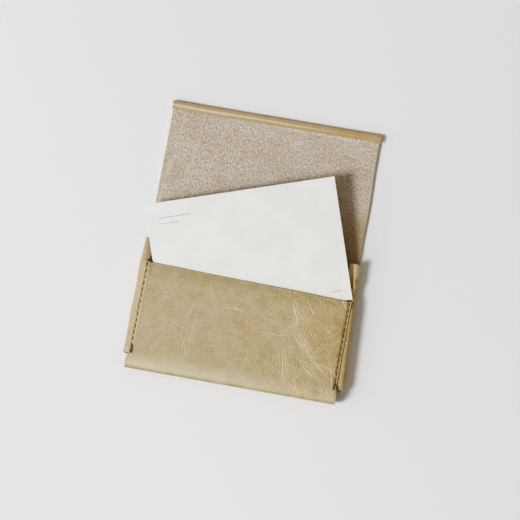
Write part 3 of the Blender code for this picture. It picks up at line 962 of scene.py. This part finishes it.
def tube(path, radius):
    """Rings of points and faces of a closed tube, tapered at its ends."""
    right, up = cross_axes(path)
    radii = np.full(len(path), radius)
    radii[0] = radii[-1] = radius * 0.55
    turn = (np.arange(TUBE_SIDES) * 2 * math.pi / TUBE_SIDES)[None, :, None]
    around = np.cos(turn) * right[:, None] + np.sin(turn) * up[:, None]
    rings = path[:, None] + radii[:, None, None] * around
    last = (len(path) - 1) * TUBE_SIDES
    faces = []
    for low in range(0, last, TUBE_SIDES):
        for k in range(TUBE_SIDES):
            j = (k + 1) % TUBE_SIDES
            faces.append((low + k, low + j, low + TUBE_SIDES + j, low + TUBE_SIDES + k))
    faces.append(tuple(range(TUBE_SIDES - 1, -1, -1)))
    faces.append(tuple(last + k for k in range(TUBE_SIDES)))
    return rings.reshape(-1, 3), faces


def twisted(points, radius):
    """The tubes of a twisted thread along points."""
    path = smooth_path(points, 0.13)
    right, up = cross_axes(path)
    run = np.concatenate(([0], np.cumsum(np.linalg.norm(np.diff(path, axis=0), axis=1))))
    for ply in range(PLIES):
        turn = ((run / TWIST_PITCH + ply / PLIES) * 2 * math.pi)[:, None]
        yield tube(path + radius * 0.46 * (np.cos(turn) * right + np.sin(turn) * up), radius * 0.6)


def thread_object(name, strands, look):
    """One object of several threads: each strand is (points, radius)."""
    verts, faces, count = [], [], 0
    for strand in strands:
        for ring_points, ring_faces in twisted(*strand):
            verts.append(ring_points)
            faces += [tuple(count + i for i in f) for f in ring_faces]
            count += len(ring_points)
    verts = np.concatenate(verts)
    return finished_mesh(name, verts, faces, [look], np.zeros(len(faces)), verts, {}, sharp=70)


def surface_of(mid, height):
    """A function giving the sheet's outer height at a place, from its grid."""
    places, heights = mid[..., :2].reshape(-1, 2), height.ravel()
    return lambda place: heights[np.argmin(((places - place) ** 2).sum(1))]


def seam_strands(side, surface, rng):
    """The running stitches, the left seam's knot and the back stitches at the bottom of both."""
    under = TOP - 2 * LEATHER - 0.9
    path = []
    places = stitch_places(side)
    for entry, leave in places:
        middle = (entry + leave) / 2
        wander = rng.normal(0, 0.05, 2)
        lift = surface(middle) + THREAD_SHOWN * 0.6 + rng.uniform(-0.03, 0.03)
        along = unit(leave - entry)
        first, last = surface(entry), surface(leave)
        for flat, z in (
            (entry - along * 0.1, under), (entry, under + 0.4), (entry, first - 0.25),
            (entry + along * 0.25, lift - 0.06), (middle + wander, lift + 0.03),
            (leave - along * 0.25, lift - 0.06), (leave, last - 0.25), (leave, under + 0.4),
            (leave + along * 0.1, under),
        ):
            path.append((*flat, z))
    strands = [(path, THREAD_SHOWN)]
    top, bottom = places[0][0], places[-1][1]
    if side == "left":
        rim = surface(top)
        knot = [(top[0] + dx, top[1] + dy, z) for dx, dy, z in KNOT_START]
        knot += [(top[0] + dx, top[1] + dy, rim + dz) for dx, dy, dz in KNOT_END]
        strands.append((knot, KNOT_RADIUS))
    for high_x, high_y, low_x, low_y in TACKS[side]:
        a, b = bottom + (high_x, high_y), bottom + (low_x, low_y)
        c = (a + b) / 2 + rng.normal(0, 0.05, 2)
        high, middle, low = surface(a), surface(c), surface(b)
        tack = (
            (a[0], a[1], high - 0.4), (a[0], a[1] - 0.1, high + 0.12), (c[0], c[1], middle + 0.26),
            (b[0], b[1] + 0.1, low + 0.12), (b[0], b[1], low - 0.4),
        )
        strands.append((tack, TACK_RADIUS))
    return strands


# ---------------------------------------------------------------- card

def card_frame():
    """The card's middle, its long side, short side and face as unit axes, and its size, from the CAD card."""
    points = np.unique(holder_points("business_card").round(4), axis=0)
    middle = points.mean(0)
    _, _, (long_side, short_side, _) = np.linalg.svd(points - middle)
    long_side = long_side * np.sign(long_side[0])
    short_side = short_side * np.sign(short_side[1])
    axes = (long_side, short_side, np.cross(long_side, short_side))
    return middle, axes, [2 * np.abs((points - middle) @ axis).max() for axis in axes]


def card_shape():
    """The card as a slightly bowed sheet."""
    middle, (long_side, short_side, face), size = card_frame()
    half_length, half_height = size[0] / 2, size[1] / 2
    columns = spaced(-half_length, half_length, 0.9)
    across, along = np.meshgrid(columns, spaced(half_height, -half_height, 0.9))
    bow = 0.16 * (1 - (across / half_length) ** 2) - 0.08 * (1 - (along / half_height) ** 2)
    mid = middle + across[..., None] * long_side + along[..., None] * short_side + bow[..., None] * face
    return mid, np.broadcast_to(face, mid.shape).copy(), np.stack((across, along), -1), size


# ---------------------------------------------------------------- pieces

NO_MARKS = {"crease": 0.0, "dark": 0.0}


def front_piece(looks, rng):
    """The front with the bottom fold, and a function giving its outer height at a place."""
    mid, normal, pattern, edge, relief, light, dark, thickness = front_shape(crease_strokes(rng))
    fields = {"crease": light, "dark": dark}
    for layer in range(STRAND_LAYERS):
        fields[f"strands_{layer}"] = strand_field(pattern[..., 0], pattern[..., 1], layer)
    front = sheet("leather_front", mid, normal, pattern, looks, thickness, edge=edge, outer=relief,
                  fields=fields)
    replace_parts(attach(front, "case"), "front_panel", "bottom_fold")
    return surface_of(mid, mid[..., 2] + thickness / 2 + relief)


def back_piece(looks):
    """The back with both wings, dented at the right wing's upper end, with painted shade in the dents."""
    mid, normal, pattern, keep, edge = back_shape()
    dent = 0.0
    for x, y, half_width, half_length, depth in WING_DENTS:
        near = hump(mid[..., 0] - x, half_width) * hump(mid[..., 1] - y, half_length)
        dent = np.maximum(dent, depth * near * (mid[..., 2] > TOP / 2))
    rough = nap(pattern)
    # The dents' depth also sets their painted shade, through the dark field.
    back = sheet("leather_back", mid, normal, pattern, looks, keep=keep, edge=edge,
                 outer=0.5 * rough - 0.4 * dent, inner=rough, fields={"crease": 0.0, "dark": dent})
    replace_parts(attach(back, "case"), "back_panel", "left_gusset", "right_gusset")


def bending_piece(name, node, looks, crease, below, end, tufted=False):
    """A flat piece laid out about its crease: rows below the bend, over it and on to its end."""
    bend = spaced(crease - BEND_REACH, crease + BEND_REACH, 0.2)
    rows = np.concatenate((below, bend, spaced(bend[-1], end, 0.45)[1:]))
    mid, normal, pattern = flat_shape(rows)
    edge = np.full(mid.shape[:2], EDGE_ROUND)
    edge[0] = edge[-1] = 0.0
    fields = dict(NO_MARKS)
    if tufted:
        x = mid[..., 0]
        lip = HEM_START + x * LEAN - HEM_LIP
        fields["tufts"] = hump(mid[..., 1] - lip + 0.5, 0.55) * smooth(-12.0, 8.0, x) * smooth(44.0, 34.0, x)
    piece = sheet(name, mid, normal, pattern, looks, edge=edge, inner=nap(pattern), fields=fields)
    start, stop = ((0, (y + BASE_Y) * MM, 0) for y in (bend[0], bend[-1]))
    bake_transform(piece)
    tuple(start)
    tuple(stop)
    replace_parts(piece, node)


def hem_piece(looks):
    """The hem, with a raised ridge that carries a painted highlight, and painted shade along its lip and
    beside the ridge.
    """
    mid, normal, pattern, over = hem_shape()
    x = mid[..., 0]
    ridge_at = 0.7 + 0.02 * np.sin(x * 0.17)
    # The ridge's pale line is a painted highlight, fading to the right.
    ridge = hump(over - ridge_at, 0.07 + 0.05 * smooth(15.0, -35.0, x)) * smooth(44.0, 4.0, x)
    # Painted shade at the lip and in a band beside the ridge.
    shade = 0.4 * smooth(0.92, 1.0, over) + 0.16 * hump(over - ridge_at - 0.2, 0.06)
    edge = np.full(mid.shape[:2], 0.22)
    edge[0] = 0.0
    relief = 0.02 * ripple(pattern[..., 0], pattern[..., 1], 2.2, 2.2) + 0.07 * ridge
    thickness = LEATHER - 0.5 * smooth(0.0, 0.45, over)
    hem = sheet("leather_hem", mid, normal, pattern, looks, thickness, edge=edge, outer=relief,
                fields={"crease": 1.1 * ridge, "dark": shade})
    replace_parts(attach(hem, "flap"), "flap_hem")


def card_piece():
    """The card, with plain rules where the photo's card has print."""
    mid, normal, pattern, size = card_shape()
    left, top = -size[0] / 2, size[1] / 2
    rules = (
        (left + 12.5, top - 7.0, 7.0, 0.16),
        (left + 10.0, top - 9.6, 4.5, 0.13),
        (-left - 6.6, -top + 4.6, 2.6, 0.15),
    )
    card = sheet("card", mid, normal, pattern, [card_look("white_card", rules)] * 3, size[2], edge=0.05)
    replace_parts(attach(card, "card"), "business_card")


rng = np.random.default_rng(11)
flesh = suede("flesh_side")
raw_edge = cut_edge("cut_edge", (184, 165, 122), (208, 192, 154))
flap_edge = cut_edge("cut_edge_flap", (188, 172, 144), (206, 193, 170))
grain_back = grain_leather("grain_side_back", streaks=0.15, veins=0.8)
grain_hem = grain_leather("grain_side_hem", veins=0.5, wrinkled=False, warmth=0.3)

front_surface = front_piece((grain_leather("grain_side", creased=True), flesh, raw_edge), rng)
back_piece((grain_back, flesh, raw_edge))
flat_looks = (grain_back, flesh, flap_edge)
bending_piece("leather_spine", "flap_spine", flat_looks, CREASE_Y, (), SPINE_END_Y)
below_crease = spaced(SPINE_END_Y, FLAP_CREASE_Y - BEND_REACH, 0.45)[:-1]
bending_piece("leather_flap", "flap_panel", flat_looks, FLAP_CREASE_Y, below_crease,
              HEM_START, tufted=True)
hem_piece((grain_hem, flesh, raw_edge))
stitching = thread_look("brown_thread")
for side in STITCHES:
    threads = thread_object(f"{side}_stitching", seam_strands(side, front_surface, rng), stitching)
    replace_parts(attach(threads, "case"), f"{side}_seam_thread")
card_piece()


# ---------------------------------------------------------------- floor, light and camera

FLOOR_HALF = 3.0
FLOOR_STEPS = 8
# The view's roll on the table and its tilt from straight down, its distance in metres and where it looks
VIEW_ROLL = math.radians(10.2)
VIEW_TILT = math.radians(4.0)
VIEW_DISTANCE = 0.8
VIEW_RIGHT = Vector((math.cos(VIEW_ROLL), math.sin(VIEW_ROLL), 0.0))
VIEW_UP = Vector((-math.sin(VIEW_ROLL), math.cos(VIEW_ROLL), 0.0))
UPWARDS = Vector((0, 0, 1))
LOOK_AT = Vector((3.6, 57.5 + BASE_Y, 0.0)) * MM
# Display curve on linear light: mid tones as they are, shadows a little deeper
TONE = ((0.04, 0.013), (0.08, 0.038), (0.14, 0.095), (0.21, 0.175), (0.32, 0.31), (0.6, 0.6))


def grid_floor(level):
    """The table, as a grid of squares."""
    ticks = np.linspace(-FLOOR_HALF, FLOOR_HALF, FLOOR_STEPS + 1)
    verts = [(x, y, level) for y in ticks for x in ticks]
    row = FLOOR_STEPS + 1
    corners = [r * row + c for r in range(FLOOR_STEPS) for c in range(FLOOR_STEPS)]
    mesh = bpy.data.meshes.new("floor")
    mesh.from_pydata(verts, [], [(i, i + 1, i + row + 1, i + row) for i in corners])
    mesh.materials.append(floor_look("pale_floor"))
    floor = bpy.data.objects.new("floor", mesh)
    bpy.context.scene.collection.objects.link(floor)


def aimed(name, data, location, upwards):
    """A new object whose -Z looks at the holder, with its Y towards upwards."""
    obj = bpy.data.objects.new(name, data)
    obj.location = location
    back = (location - LOOK_AT).normalized()
    right = upwards.cross(back).normalized()
    obj.rotation_mode = "QUATERNION"
    obj.rotation_quaternion = Matrix((right, back.cross(right), back)).transposed().to_quaternion()
    bpy.context.scene.collection.objects.link(obj)
    return obj


def camera():
    data = bpy.data.cameras.new("camera")
    data.sensor_width = 36.0
    data.lens = 124.3
    data.clip_start = 0.05
    data.clip_end = 20.0
    place = LOOK_AT + VIEW_DISTANCE * (math.cos(VIEW_TILT) * UPWARDS - math.sin(VIEW_TILT) * VIEW_UP)
    bpy.context.scene.camera = aimed("camera", data, place, VIEW_UP)


def soft_light(name, from_up, elevation, distance, size, power):
    """A round light to the view's left."""
    data = bpy.data.lights.new(name, "AREA")
    data.shape = "DISK"
    data.size = size
    data.energy = power
    data.color = (0.89, 0.93, 1.0)
    flat = (VIEW_UP * from_up - VIEW_RIGHT).normalized()
    angle = math.radians(elevation)
    aimed(name, data, LOOK_AT + distance * (math.cos(angle) * flat + math.sin(angle) * UPWARDS), UPWARDS)


def surroundings():
    """A dim warm fill from all round."""
    world = bpy.data.worlds.new("studio")
    world.use_nodes = True
    colour, strength = world.node_tree.nodes["Background"].inputs[:2]
    colour.default_value = (1.0, 0.92, 0.79, 1.0)
    strength.default_value = 0.38
    bpy.context.scene.world = world


def display():
    settings = bpy.context.scene.view_settings
    settings.view_transform = "Standard"
    settings.use_curve_mapping = True
    for light, shown in TONE:
        settings.curve_mapping.curves[3].points.new(light, shown)
    settings.curve_mapping.update()


low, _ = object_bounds()
grid_floor(min(low.z, 0.0) - 0.03 * MM)
camera()
soft_light("key", -0.38, 46, 4.0, 1.1, 121.0)
soft_light("wide", -0.3, 27, 3.0, 2.3, 20.0)
surroundings()
display()
